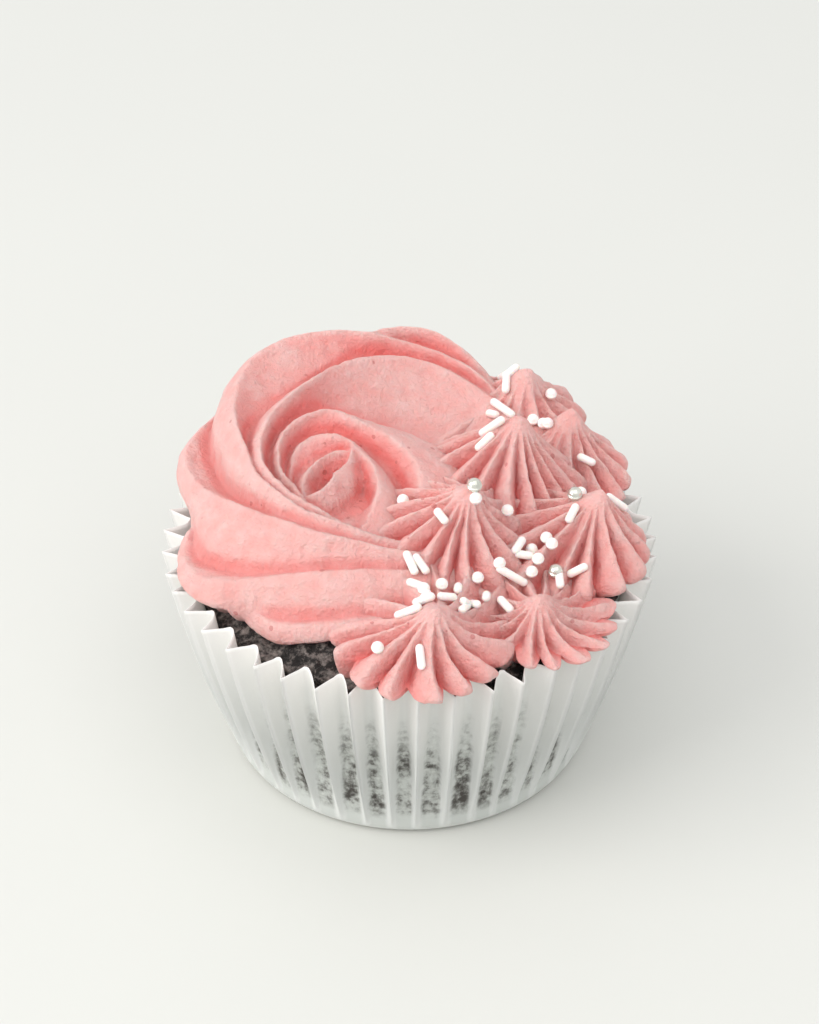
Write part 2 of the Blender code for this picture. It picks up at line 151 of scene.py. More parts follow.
def add_node(tree, kind, settings=None, **inputs):
    """Adds a node; an input is a value, or an output of another node to link."""
    node = tree.nodes.new("ShaderNode" + kind)
    for key, value in (settings or {}).items():
        setattr(node, key, value)
    for key, value in inputs.items():
        place = int(key[1:]) if key[1:].isdigit() else key.replace("_", " ")
        socket = node.inputs[place]
        if isinstance(value, bpy.types.NodeSocket):
            tree.links.new(value, socket)
        else:
            socket.default_value = value
    return node


def blend_colours(tree, share, first, second):
    """The colour output of a mix of two colours."""
    mix = add_node(tree, "Mix", {"data_type": "RGBA"}, i0=share, i6=first, i7=second)
    return mix.outputs[2]


def mapped(tree, value, low, high, to_low=0.0, to_high=1.0):
    """A value stretched from one range to another and held at its ends."""
    inputs = {"Value": value, "i1": low, "i2": high, "i3": to_low, "i4": to_high}
    return add_node(tree, "MapRange", {"clamp": True}, **inputs).outputs[0]


def combined(tree, operation, first, second):
    """Two values added, multiplied or compared."""
    return add_node(tree, "Math", {"operation": operation}, i0=first, i1=second).outputs[0]


def place_on(tree, stretch=(1.0, 1.0, 1.0)):
    """Object coordinates, stretched."""
    spot = add_node(tree, "TexCoord").outputs["Object"]
    return add_node(tree, "Mapping", None, Vector=spot, Scale=stretch).outputs[0]


print("finishes start from", bpy.app.version_string)

# %% [markdown]
# ## The floor
# The cupcake stands on a plain white table. A plane is enough, as long as it runs far
# beyond the view. A trace of unevenness keeps its white from looking computed.

# %% Floor
table_finish, tree, shader = new_finish("white_table", 0.6)
patches = add_node(tree, "TexNoise", None, Vector=place_on(tree), Scale=9.0, Detail=3.0)
tint = blend_colours(
    tree, patches.outputs[0], (0.61, 0.61, 0.58, 1.0), (0.635, 0.635, 0.60, 1.0)
)
tree.links.new(tint, shader.inputs["Base Color"])
bpy.ops.mesh.primitive_plane_add(size=6.0)
table = bpy.context.object
table.name = "table"
table.data.materials.append(table_finish)
print("table is", table.dimensions.x, "m across")

# %% [markdown]
# ## Skins made of rings
# The case, the cake and all the piping are closed shapes that run round an upright
# axis. Each is laid up from rings, as a potter coils a pot: from a point under it,
# up the outside, and in to a point at its end. Building from rings gives exact control
# over each fold, which sculpting or a remesh would soften. A second number can be
# stored for each point, such as how deep in a groove it lies, for the finish to use.

# %% Ring skin


def skin(name, under, rings, tip, finish, marks=None, mark_name="depth"):
    """A smooth closed mesh of rings, anticlockwise from above, given in millimetres."""
    rings = np.asarray(rings, float)
    count, sides, _ = rings.shape
    points = np.concatenate([[under], rings.reshape(-1, 3), [tip]]) * MM
    side = np.arange(sides)
    after = (side + 1) % sides
    quads = []
    for low in 1 + sides * np.arange(count - 1):
        high = low + sides
        quads.append(np.stack([low + side, low + after, high + after, high + side], 1))
    last = 1 + sides * (count - 1)
    fans = [np.stack([0 * side, 1 + after, 1 + side], 1)]
    fans.append(np.stack([last + side, last + after, 0 * side + len(points) - 1], 1))
    faces = np.concatenate(quads).tolist() + np.concatenate(fans).tolist()
    mesh = bpy.data.meshes.new(name)
    mesh.from_pydata(points.tolist(), [], faces)
    mesh.polygons.foreach_set("use_smooth", [True] * len(mesh.polygons))
    if marks is not None:
        marks = np.asarray(marks, float).reshape(-1)
        stored = np.concatenate([marks[:1], marks, marks[-1:]])
        mesh.attributes.new(mark_name, "FLOAT", "POINT").data.foreach_set("value", stored)
    mesh.materials.append(finish)
    piece = bpy.data.objects.new(name, mesh)
    bpy.context.scene.collection.objects.link(piece)
    return piece


def serve(piece, slot_name, *nodes):
    """Lets a finished piece stand for its solid, which it hides, and ride with the cupcake."""
    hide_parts(*nodes)
    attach(piece, "root")
    size = [round(side / MM, 1) for side in piece.dimensions]
    print(piece.name, len(piece.data.polygons), "faces,", size, "mm")


def soften(piece):
    """Rounds off a piece's sharpest points, as cream settles."""
    softer = piece.modifiers.new("soften", "SMOOTH")
    softer.factor = 0.5
    softer.iterations = 3


def ripple(turn, seed):
    """A wandering line round a circle, about -1 to 1, that closes on itself."""
    picks = np.random.default_rng(seed)
    waves = [np.sin(np.radians(turn * n) + picks.uniform(0, 6.28)) for n in (2, 3, 5, 8, 13, 21)]
    shares = picks.uniform(0.3, 1.0, 6) / np.array([1.0, 1.2, 1.6, 2.4, 3.4, 5.0])
    return sum(share * wave for share, wave in zip(shares, waves)) / 1.6

# %% [markdown]
# ## The paper case
# Baking paper is pressed into sharp outer folds and rounder inner ones. Under the rim
# the folds stand free, and lower down the paper between them lies flat against the
# cake and takes its dark, moist marks. A flat strip could be folded with an array,
# but no two real pleats are the same, so one formula gives the paper's distance from
# the middle at each turn and height, with a little chance in the width, depth and
# slant of every pleat.

# %% Pleats
PLEATS = 46
STEPS_A_PLEAT = 14
BASE_RADIUS = 25.0
PLEAT_DEPTH = 3.3
PLEAT_START = 1.5
PLEAT_GROWTH = 12.0
PLEAT_DEPTH_BELOW = 0.55
FOLD_WIDTH_BELOW = 0.34
FOLD_WIDENING = 0.75
FOLD_TOUCHES = 0.6
RIM_UNEVENNESS = 0.35
CASE_BULGE = 0.7
PAPER = 0.12
case_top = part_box("paper_case")[1]
rim_radius = case_top.x / MM
rim_height = case_top.z / MM
chance = np.random.default_rng(46)
pleat_width = chance.normal(1.0, 0.07, PLEATS)
pleat_edges = np.concatenate([[0.0], np.cumsum(pleat_width)]) * 360.0 / pleat_width.sum()
pleat_reach = chance.uniform(0.86, 1.06, PLEATS)
pleat_lean = chance.uniform(-0.12, 0.12, PLEATS)
pleat_slant = chance.normal(0.0, 0.5, PLEATS)
pleat_turns = np.diff(pleat_edges).round(1)
print(PLEATS, "pleats from", pleat_turns.min(), "to", pleat_turns.max(), "degrees wide")


def case_wall(height, up):
    """Turn, radius and closeness to the cake of one ring of the paper wall."""
    number = np.repeat(np.arange(PLEATS), STEPS_A_PLEAT)
    share = np.tile(np.arange(STEPS_A_PLEAT) / STEPS_A_PLEAT, PLEATS)
    fold = 0.5 + pleat_lean[number]
    aside = np.where(share < fold, share / fold, (1.0 - share) / (1.0 - fold))
    narrow = np.clip(FOLD_WIDTH_BELOW + FOLD_WIDENING * up, 0.0, 1.0)
    into = np.minimum(aside / narrow, 1.0)
    following = (number + 1) % PLEATS
    reach = pleat_reach[number] * (1.0 - share) + pleat_reach[following] * share
    flare = np.clip((height - PLEAT_START) / PLEAT_GROWTH, 0.0, 1.0) ** 0.8
    depth = PLEAT_DEPTH * reach * flare * (PLEAT_DEPTH_BELOW + (1.0 - PLEAT_DEPTH_BELOW) * up)
    turn = pleat_edges[number] + share * (pleat_edges[number + 1] - pleat_edges[number])
    slant = pleat_slant[number] * (1.0 - share) + pleat_slant[following] * share
    turn = turn + slant * (1.0 - up)
    outer = BASE_RADIUS + (rim_radius - BASE_RADIUS) * up + CASE_BULGE * math.sin(math.pi * up)
    radius = outer - depth * np.sin(into * math.pi / 2.0)
    touch = np.clip((aside - FOLD_TOUCHES * narrow) / 0.25, 0.0, 1.0)
    return turn, radius, touch


# %% Case walls


def case_ring(height, inset):
    """One ring of points of the wall, and how closely the paper there touches the cake."""
    up = height / rim_height
    turn, radius, touch = case_wall(height, up)
    lift = RIM_UNEVENNESS * up ** 6 * (ripple(turn, 5) + touch)
    place = np.radians(turn)
    ring = [(radius - inset) * np.cos(place), (radius - inset) * np.sin(place), height + lift]
    return np.stack(ring, axis=1), touch


def flat_ring(radius, height):
    """A round ring under the wall, with the same turns as the pleats."""
    turn = np.radians(case_wall(0.0, 0.0)[0])
    level = np.full(len(turn), float(height))
    return np.stack([radius * np.cos(turn), radius * np.sin(turn), level], axis=1)


# %% [markdown]
# The paper is white where it stands free and lets the cake's grey through where it
# lies close. Dark crumbs and moist blotches show in the lower part between the folds.
# They are painted by noise that is stretched upwards, and held to the places where
# the stored closeness is high. A real see-through paper could be rendered too, but it
# takes long to settle and the marks would still have to be painted.

# %% Paper finish
paper_finish, tree, shader = new_finish("baking_paper", 0.62)
touch = add_node(tree, "Attribute", {"attribute_name": "touch"}).outputs["Fac"]
spot = add_node(tree, "TexCoord").outputs["Object"]
height = add_node(tree, "SeparateXYZ", None, Vector=spot).outputs["Z"]
free = mapped(tree, height, 0.012, 0.030)
close = combined(tree, "MULTIPLY", touch, mapped(tree, height, 0.0315, 0.014))
standing = blend_colours(tree, free, (0.71, 0.72, 0.69, 1.0), (0.84, 0.825, 0.79, 1.0))
lying = blend_colours(tree, close, standing, (0.58, 0.60, 0.565, 1.0))
streaks = add_node(
    tree, "TexNoise", None, Vector=place_on(tree, (1.0, 1.0, 0.45)), Scale=230.0, Detail=6.0,
    Roughness=0.7,
).outputs[0]
specks = add_node(
    tree, "TexNoise", None, Vector=place_on(tree), Scale=900.0, Detail=3.0, Roughness=0.6
).outputs[0]
patchy = combined(tree, "ADD", streaks, mapped(tree, specks, 0.3, 0.7, -0.12, 0.12))
above_base = mapped(tree, height, 0.003, 0.006)
rise = combined(tree, "MULTIPLY", above_base, mapped(tree, height, 0.025, 0.014))
near = combined(tree, "MULTIPLY", rise, touch)
damp = combined(tree, "MULTIPLY", mapped(tree, patchy, 0.36, 0.66), near)
greyed = blend_colours(tree, damp, lying, (0.20, 0.195, 0.18, 1.0))
wet = combined(tree, "MULTIPLY", mapped(tree, patchy, 0.49, 0.67), near)
tint = blend_colours(tree, wet, greyed, (0.045, 0.038, 0.033, 1.0))
tree.links.new(tint, shader.inputs["Base Color"])
fibres = add_node(
    tree, "TexNoise", None, Vector=place_on(tree), Scale=1400.0, Detail=4.0
).outputs[0]
bump = add_node(tree, "Bump", None, Height=fibres, Strength=0.25, Distance=0.0002)
tree.links.new(bump.outputs[0], shader.inputs["Normal"])
shader.inputs["Subsurface Weight"].default_value = 0.25
shader.inputs["Subsurface Radius"].default_value = (1.0, 0.95, 0.85)
shader.inputs["Subsurface Scale"].default_value = 0.0008
print("paper finish has", len(tree.nodes), "nodes")

# %% Fold the case
CASE_LEVELS = 44
levels = 1.6 + (rim_height - 1.6) * np.linspace(0.0, 1.0, CASE_LEVELS)
outside = [case_ring(level, 0.0) for level in levels]
inside = [case_ring(level, PAPER) for level in reversed(levels)]
under_rings = [flat_ring(BASE_RADIUS - 1.8, 0.0), flat_ring(BASE_RADIUS - 0.6, 0.25)]
under_rings.append(flat_ring(BASE_RADIUS + 0.1, 0.8))
floor_rings = [flat_ring(BASE_RADIUS - 0.1, 0.9), flat_ring(BASE_RADIUS - 0.7, 0.25 + PAPER)]
floor_rings.append(flat_ring(BASE_RADIUS - 1.9, PAPER))
rings = under_rings + [ring for ring, _ in outside + inside] + floor_rings
no_touch = np.zeros(PLEATS * STEPS_A_PLEAT)
touches = [no_touch] * 3 + [touch for _, touch in outside + inside] + [no_touch] * 3
paper_case = skin(
    "pleated_case", (0, 0, 0), rings, (0, 0, PAPER), paper_finish, touches, "touch"
)
serve(paper_case, "paper", "paper_case")

# %% [markdown]
# ## The cake
# The cake shows as a dark, almost black crumb in the gaps between the icing and the
# paper. A baked crumb is all small torn holes, so it is built twice: the mesh carries
# the lumps and pits of a millimetre and more, and the finish adds the finer ones. The
# dome could be a plain turned shape with a displace modifier, but pushing the rings'
# own points is as quick and keeps the piece in one mesh.

# %% Crumb finish
crumb_finish, tree, shader = new_finish("dark_crumb", 0.7)
grain = add_node(tree, "TexVoronoi", None, Vector=place_on(tree), Scale=1100.0).outputs["Distance"]
lumps = add_node(
    tree, "TexNoise", None, Vector=place_on(tree), Scale=700.0, Detail=6.0, Roughness=0.7
).outputs[0]
# painted highlight: light specks in the crumb's colour stand in for glints on the moist crumb
painted_glints = mapped(tree, lumps, 0.46, 0.64)
tint = blend_colours(tree, painted_glints, (0.010, 0.007, 0.006, 1.0), (0.25, 0.21, 0.19, 1.0))
tree.links.new(tint, shader.inputs["Base Color"])
relief = combined(tree, "ADD", combined(tree, "MULTIPLY", grain, 0.6), lumps)
bump = add_node(tree, "Bump", None, Height=relief, Strength=0.9, Distance=0.0008)
tree.links.new(bump.outputs[0], shader.inputs["Normal"])
tree.links.new(mapped(tree, lumps, 0.4, 0.7, 0.85, 0.45), shader.inputs["Roughness"])
print("crumb finish has", len(tree.nodes), "nodes")

# %% Bake the cake
CAKE_EDGE_RADIUS = 29.4
CAKE_EDGE_HEIGHT = 29.0
CAKE_RISE = 6.5
CAKE_BASE_RADIUS = 22.2
CAKE_FLARE = 0.25
SHOULDER_HEIGHT = 26.8
CRUMB_DEPTH = 0.9
LUMP_SHARE = 0.45
PIT_START = 0.30
PIT_SHARE = 2.2
CAKE_TURNS = 420


def dome_height(x, y):
    """Top of the baked cake."""
    return CAKE_EDGE_HEIGHT + CAKE_RISE * (1.0 - (np.hypot(x, y) / CAKE_EDGE_RADIUS) ** 2)


def cake_ring(radius, height):
    """One level ring of the cake."""
    turn = np.arange(CAKE_TURNS) * 2.0 * np.pi / CAKE_TURNS
    return np.stack([radius * np.cos(turn), radius * np.sin(turn), np.full(CAKE_TURNS, height)], 1)


def crumble(rings, depth):
    """Pushes points in and out by layered noise, as a torn crumb."""
    for ring in rings:
        for point in ring:
            lump = noise.fractal(Vector(point) * 0.55, 0.8, 2.1, 4)
            pit = max(0.0, PIT_START - noise.voronoi(Vector(point) * 0.42)[0][0]) * PIT_SHARE
            point *= 1.0 + (lump * LUMP_SHARE - pit) * depth / 30.0
    return rings


wall = [cake_ring(CAKE_BASE_RADIUS + CAKE_FLARE * h, h) for h in np.linspace(0.8, 25.5, 10)]
shoulder = [
    cake_ring(CAKE_EDGE_RADIUS - 0.7 + 0.7 * math.sin(a), SHOULDER_HEIGHT + 2.2 * math.sin(a))
    for a in np.linspace(0.0, math.pi / 2.0, 6)
]
top = [
    cake_ring(CAKE_EDGE_RADIUS * reach, dome_height(CAKE_EDGE_RADIUS * reach, 0.0))
    for reach in np.linspace(0.985, 0.45, 44)
]
rings = crumble(wall + shoulder + top, CRUMB_DEPTH)
cake = skin("dark_cake", (0, 0, 0.8), rings, (0, 0, dome_height(0.0, 0.0) - 0.5), crumb_finish)
serve(cake, "cake", "cake")

# %% [markdown]
# ## Buttercream
# Whipped buttercream is soft and satin, with tiny air holes where bubbles burst, and
# a grain like fine sugar. Light goes a little way into it, and the finish lets it in
# under the surface. By the stored depth the finish mixes a pale pink, a lighter pink
# that is a painted highlight on the thin crests, and a deep pink that is painted shade
# in the creases and on steep faces that look towards the rose's heart. It cuts sparse
# pores and a fine grain with bump, and paints the pores a dark red as the shade inside
# them. Pores could be real holes in the mesh, but at a third of a millimetre they would
# cost more faces than the whole rose.

# %% Icing finish
icing_finish, tree, shader = new_finish("pink_buttercream", 0.48)
depth = add_node(tree, "Attribute", {"attribute_name": "depth"}).outputs["Fac"]
mottle = add_node(
    tree, "TexNoise", None, Vector=place_on(tree), Scale=420.0, Detail=6.0
).outputs[0]
pale = blend_colours(
    tree, mapped(tree, mottle, 0.3, 0.7), (1.0, 0.47, 0.435, 1.0), (1.0, 0.60, 0.565, 1.0)
)
# painted highlight: crests, marked below zero, are mixed towards a lighter pink
highlight_share = mapped(tree, depth, 0.0, -1.0)
painted_crest_highlight = blend_colours(tree, highlight_share, pale, (1.0, 0.66, 0.62, 1.0))
# painted shade: creases and faces that look towards the rose's heart go to a deep pink
painted_shade = blend_colours(tree, depth, painted_crest_highlight, (1.0, 0.26, 0.24, 1.0))
cells = add_node(tree, "TexVoronoi", None, Vector=place_on(tree), Scale=620.0, Randomness=1.0)
chosen = add_node(tree, "SeparateColor", None, Color=cells.outputs["Color"]).outputs[0]
size = mapped(tree, chosen, 0.82, 1.0, 0.0, 0.26)
pores = combined(tree, "LESS_THAN", cells.outputs["Distance"], size)
# painted shade: the pores are coloured dark red for the shade inside them
tint = blend_colours(tree, combined(tree, "MULTIPLY", pores, 0.5), painted_shade, (0.62, 0.14, 0.13, 1.0))
tree.links.new(tint, shader.inputs["Base Color"])
grain = add_node(
    tree, "TexNoise", None, Vector=place_on(tree), Scale=2200.0, Detail=5.0, Roughness=0.7
).outputs[0]
swell = add_node(tree, "TexNoise", None, Vector=place_on(tree), Scale=420.0, Detail=3.0).outputs[0]
relief = combined(tree, "ADD", combined(tree, "MULTIPLY", grain, 0.5), swell)
relief = combined(tree, "SUBTRACT", relief, combined(tree, "MULTIPLY", pores, 0.9))
bump = add_node(tree, "Bump", None, Height=relief, Strength=1.0, Distance=0.0016)
tree.links.new(bump.outputs[0], shader.inputs["Normal"])
shader.inputs["Subsurface Weight"].default_value = 0.3
shader.inputs["Subsurface Radius"].default_value = (1.0, 0.38, 0.30)
shader.inputs["Subsurface Scale"].default_value = 0.0012
shader.inputs["Specular IOR Level"].default_value = 0.35
print("icing finish has", len(tree.nodes), "nodes")

# %% [markdown]
# ## The bed under the icing
# Icing lies on the cake, and where it hangs past the cake's edge it clears the paper's
# rim. Two formulas give those heights, one for the rose's underside and one for the
# gentler bed that the stars' petals lie on.

# %% Bed heights
ICING_GAP = 0.15


def rest_height(x, y):
    """Underside of the icing: on the cake, and over the paper's rim outside it."""
    out = np.clip((np.hypot(x, y) - CAKE_EDGE_RADIUS + 0.8) / 0.6, 0.0, 1.0)
    return np.maximum(dome_height(x, y), rim_height - 3.0 * (1.0 - out)) + ICING_GAP


def bed_height(x, y):
    """Where a star's petals lie: the cake, levelling off to clear the rim."""
    reach = np.minimum(np.hypot(x, y), CAKE_EDGE_RADIUS)
    out = np.clip((reach - CAKE_EDGE_RADIUS + 6.5) / 6.5, 0.0, 1.0)
    lift = rim_height + 0.45 - CAKE_EDGE_HEIGHT
    return dome_height(reach, 0.0) + lift * out ** 2 * (3.0 - 2.0 * out)


print("icing rests from", rest_height(33.0, 0.0).round(1), "to", rest_height(0.0, 0.0).round(1))

# %% [markdown]
# ## The rose
# The rose is one strand of icing from a slit nozzle, piped in a spiral from its heart
# outwards, so each turn leaves a thin folded edge with a broad face behind it. Nine
# edges and the strand's tail make up the whole. Each edge is a smooth curve through a
# few stations: the turn round the heart, the distance from it, and the height. The
# rose's top is then the highest of all the faces over each spot. A swept ribbon would
# be the other way, but its turns pass through each other where they merge, and the
# strand's two sides are hidden anyway.

# %% Folded edges
ROSE_HEART = (-11.0, 0.8)
HEART_FLOOR = 38.3
FLANK_SLOPE = 1.1
FLANK_STEP = 1.0
FLANK_MOST = 0.65
FLANK_LEAN = 0.5
CREASE_SHARE = 0.8
CREASE_WALL = 2.5
LEAST_FACE = 0.6
LEAST_THICKNESS = 0.8
FACE_CURVE = 1.2
# for each edge, how high it stands over the crease inside it, and then its stations:
# (turn, distance from the heart, height, flank width)
ROSE_EDGES = {
    "curl": (1.5, (
        (46, 5.2, 42.3, 2.0), (70, 4.0, 42.6, 2.0), (98, 2.9, 42.3, 2.0), (152, 2.2, 41.9, 2.0),
        (202, 3.2, 41.6, 2.0), (235, 5.0, 40.8, 2.0),
    )),
    "heart": (2.0, (
        (235, 5.0, 40.8, 3.0), (274, 2.5, 41.9, 3.0), (370, 2.2, 42.6, 3.0), (403, 4.4, 43.0, 2.5),
        (418, 5.6, 42.6, 2.5),
    )),
    "edge_1": (1.8, (
        (-90, 13.4, 36.9, 4.0), (-51, 9.2, 40.0, 4.0), (-16, 6.9, 42.0, 3.5), (38, 5.4, 43.0, 2.5),
        (84, 6.6, 43.4, 1.5), (125, 6.4, 42.7, 1.2), (165, 5.0, 41.5, 1.0), (195, 4.9, 40.5, 1.0),
    )),
    "edge_2": (3.4, (
        (-65, 18.8, 35.4, 5.0), (-18, 13.2, 40.1, 7.0), (16, 11.4, 42.5, 8.0), (59, 9.2, 44.1, 6.4),
        (92, 10.2, 44.8, 3.9), (124, 8.8, 44.4, 2.2), (170, 6.5, 43.3, 1.2), (239, 5.8, 41.8, 1.0),
        (269, 7.5, 40.5, 1.0),
    )),
    "edge_3": (4.2, (
        (-6, 27.2, 35.4, 3.0), (34, 30.0, 39.1, 3.0), (51, 29.5, 41.1, 3.0), (62, 28.6, 42.3, 3.0),
        (67, 27.6, 43.0, 3.3), (78, 24.2, 44.2, 4.7), (101, 15.9, 45.6, 6.0),
        (134, 11.3, 45.1, 3.4), (178, 8.6, 44.1, 1.6), (223, 7.1, 43.0, 1.0), (274, 8.7, 41.6, 1.0),
        (297, 11.3, 39.8, 1.0),
    )),
    "edge_4": (3.2, (
        (31, 31.6, 36.2, 2.0), (50, 31.6, 41.4, 2.5), (61, 31.0, 42.8, 2.5), (72, 29.7, 44.2, 2.5),
        (82, 29.0, 45.2, 3.0), (91, 28.5, 45.5, 3.5), (115, 25.0, 45.1, 4.5),
        (133, 18.8, 44.4, 5.0), (156, 12.6, 44.0, 3.9), (191, 9.4, 43.4, 1.9),
        (246, 8.5, 42.3, 1.2), (293, 11.8, 40.9, 1.2), (311, 14.9, 39.1, 1.2),
        (328, 18.2, 36.9, 1.2),
    )),
    "edge_5": (1.2, (
        (96, 25.7, 31.0, 1.2), (119, 26.9, 36.0, 1.5), (138, 24.6, 36.8, 1.5),
        (156, 21.7, 37.3, 1.5), (170, 18.2, 37.9, 1.8), (186, 14.9, 39.1, 3.2),
        (202, 12.6, 40.0, 6.0), (221, 11.5, 40.7, 6.0), (246, 11.4, 41.4, 5.0),
        (267, 12.3, 41.2, 3.2), (288, 13.7, 40.5, 2.5), (308, 16.9, 39.1, 2.0),
        (331, 21.0, 36.7, 1.5), (342, 22.8, 35.7, 1.3), (358, 25.8, 34.2, 1.2),
    )),
    "edge_6": (0.8, (
        (173, 16.1, 31.5, 1.0), (182, 17.9, 33.2, 1.0), (200, 20.1, 33.6, 1.2),
        (214, 21.1, 34.3, 1.8), (228, 20.4, 35.5, 2.4), (239, 18.4, 36.3, 2.6),
        (252, 16.9, 37.2, 3.4), (269, 16.3, 38.0, 4.0), (287, 17.0, 38.2, 3.8),
        (307, 19.5, 37.6, 3.0), (327, 22.8, 35.9, 2.0), (341, 24.9, 34.6, 1.5),
        (356, 27.4, 33.4, 1.4),
    )),
    "edge_7": (0.6, (
        (212, 17.3, 31.0, 1.0), (229, 18.5, 32.3, 1.0), (242, 20.3, 32.8, 1.0),
        (254, 22.1, 33.2, 1.0), (267, 22.2, 33.8, 1.0), (282, 22.3, 34.3, 1.0),
        (304, 23.8, 34.4, 1.0), (322, 25.5, 34.2, 1.0), (342, 26.9, 33.5, 1.0),
        (356, 28.4, 33.0, 1.0),
    )),
    "tail": (3.0, (
        (37, 33.1, 33.0, 2.0), (47, 33.2, 39.5, 2.0), (58, 33.3, 43.4, 2.0), (69, 32.7, 44.8, 2.0),
        (79, 29.6, 44.8, 2.0), (96, 25.8, 37.6, 2.0),
    )),
}
ROSE_ORDER = (
    "curl", "heart", "edge_1", "edge_2", "edge_3", "edge_4", "edge_5", "edge_6", "edge_7",
)


def through(stations, column, turn):
    """A smooth curve through one column of the stations, held at both ends."""
    table = np.array(stations, float)
    knots, values = table[:, 0], table[:, column]
    slopes = np.gradient(values, knots)
    turn = np.clip(turn, knots[0], knots[-1])
    piece = np.clip(np.searchsorted(knots, turn) - 1, 0, len(knots) - 2)
    width = knots[piece + 1] - knots[piece]
    t = (turn - knots[piece]) / width
    rise = values[piece + 1] - values[piece]
    a = slopes[piece] * width - rise
    b = rise - slopes[piece + 1] * width
    return values[piece] + rise * t + t * (1 - t) * (a * (1 - t) + b * t)


def counted_on(stations, turn):
    """The turn counted on from the edge's first station."""
    return stations[0][0] + (turn - stations[0][0]) % 360.0


def edge_radius(name, turn):
    """Distance of an edge from the heart, with the small waver of a real strand."""
    stations = ROSE_EDGES[name][1]
    seed = sorted(ROSE_EDGES).index(name)
    radius = through(stations, 1, turn) + 0.10 * ripple(turn * 3.0, seed)
    return radius + 0.05 * ripple(turn * 17.0, seed + 20)


print(len(ROSE_EDGES), "folded edges")

# %% [markdown]
# Behind each edge its broad face rises from the foot of the edge inside it. In front,
# a rounded flank rolls down to the edge outside it.

# %% Faces and flanks


def fold_foot(within, crease, x, y, turn, at, top):
    """The crease where a fold's inner face starts, beyond the flank of the edge inside it."""
    if within is None:
        return at * 0.3, np.full_like(at, HEART_FLOOR)
    stations = ROSE_EDGES[within][1]
    turned = counted_on(stations, turn)
    last = stations[-1][0]
    early = turned - last > (360.0 - last + stations[0][0]) / 2
    turned = np.where(early, stations[0][0], turned)
    foot = through(stations, 1, turned) + CREASE_SHARE * through(stations, 3, turned)
    height = np.minimum(top - crease, through(stations, 2, turned) - FLANK_STEP)
    height = np.maximum(height, rest_height(x, y) + LEAST_THICKNESS)
    return np.minimum(foot, at - LEAST_FACE), np.minimum(height, top)


def fold_height(name, within, x, y, radius, turn):
    """Height of one folded edge, its face and its flank; -1 where it isn't."""
    crease, stations = ROSE_EDGES[name]
    turned = counted_on(stations, turn)
    at = edge_radius(name, turned)
    top = through(stations, 2, turned)
    flank = through(stations, 3, turned)
    beyond = np.clip((radius - at) / flank, 0.0, 1.0)
    most = FLANK_MOST * (top - rest_height(x, y))
    drop = np.minimum(FLANK_SLOPE * flank + FLANK_STEP, most)
    round_off = 1.0 - np.sqrt(1.0 - beyond ** 2)
    height = top - drop * (FLANK_LEAN * beyond + (1.0 - FLANK_LEAN) * round_off)
    height = np.where(radius > at + flank, -1.0, height)
    foot, foot_height = fold_foot(within, crease, x, y, turn, at, top)
    up = np.clip((radius - foot) / (at - foot), 0.0, 1.0)
    face = foot_height + (top - foot_height) * up ** FACE_CURVE
    face = face - CREASE_WALL * np.maximum(foot - radius, 0.0)
    height = np.where(radius < at, face, height)
    return np.where(turned <= stations[-1][0], height, -1.0)


def rose_height(x, y):
    """Top of the whole rose over each spot, or -1 beyond it."""
    radius = np.hypot(x - ROSE_HEART[0], y - ROSE_HEART[1])
    turn = np.degrees(np.arctan2(y - ROSE_HEART[1], x - ROSE_HEART[0]))
    height = np.where(radius < 8.0, HEART_FLOOR, -1.0)
    within = None
    for name in ROSE_ORDER:
        inner = None if name == "heart" else within
        height = np.maximum(height, fold_height(name, inner, x, y, radius, turn))
        within = "curl" if name == "heart" else name
    height = np.maximum(height, fold_height("tail", "edge_4", x, y, radius, turn))
    return np.where(height > rest_height(x, y) + 0.2, height, -1.0)


# %% [markdown]
# The rose is skinned along lines from its heart. Points are spaced evenly down each
# line, and the nearest one is drawn onto each folded edge so that the edge stays crisp.
# Where a line leaves the icing, the skin rolls round a rounded lip and under.

# %% Lines of the rose
ROSE_LINES = 420
ROSE_SPACING = 0.24
ROSE_REACH = 42.0
LIP_POINTS = 9
UNDERCUT = 2.2


def rose_ends(turns):
    """How far the rose reaches along each line, to a hundredth of a millimetre."""
    steps = np.arange(1.0, ROSE_REACH, 0.5)
    radius, turn = np.meshgrid(steps, np.radians(turns), indexing="ij")
    x = ROSE_HEART[0] + radius * np.cos(turn)
    y = ROSE_HEART[1] + radius * np.sin(turn)
    gone = rose_height(x, y) < 0.0
    low = steps[np.maximum(gone.argmax(axis=0) - 1, 0)]
    high = low + 0.5
    for _ in range(8):
        middle = (low + high) / 2.0
        x = ROSE_HEART[0] + middle * np.cos(np.radians(turns))
        y = ROSE_HEART[1] + middle * np.sin(np.radians(turns))
        there = rose_height(x, y) > 0.0
        low, high = np.where(there, middle, low), np.where(there, high, middle)
    return low


